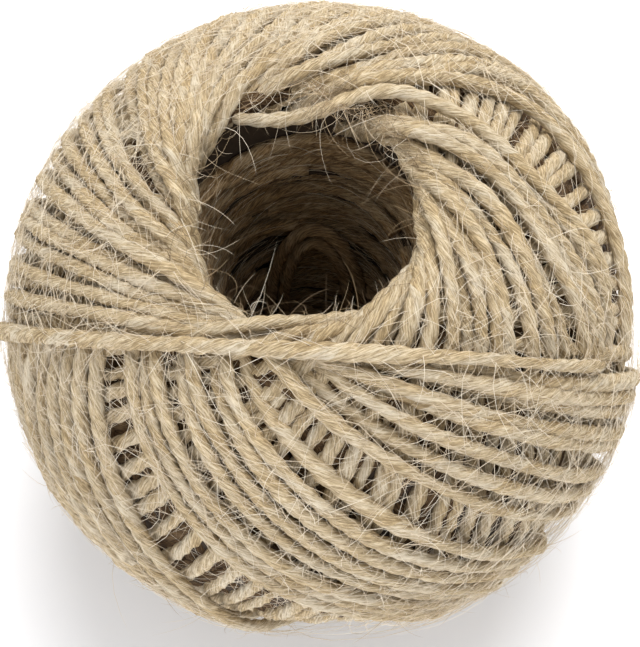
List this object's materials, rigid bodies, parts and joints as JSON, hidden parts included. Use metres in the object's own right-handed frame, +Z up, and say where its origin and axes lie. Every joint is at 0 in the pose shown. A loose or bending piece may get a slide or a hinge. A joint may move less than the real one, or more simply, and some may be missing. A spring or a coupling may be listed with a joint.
{
  "type": "ball of jute twine",
  "caption": "Ball of natural jute twine, wound in crossing turns round an open centre hole, with a small flat spot to stand on.",
  "frame": {"origin": "centre of the flat spot that the ball stands on, on the surface", "axes": "+Z up along the ball's winding axis and out of the hole, -Y towards the side where the newest turn crosses in front of the hole, +X to the right of that side"},
  "size_m": [0.0803, 0.0796, 0.0756],
  "materials": {
    "jute": "matte"
  },
  "bodies": {
    "root": {"ball": "jute"}
  },
  "joints": []
}
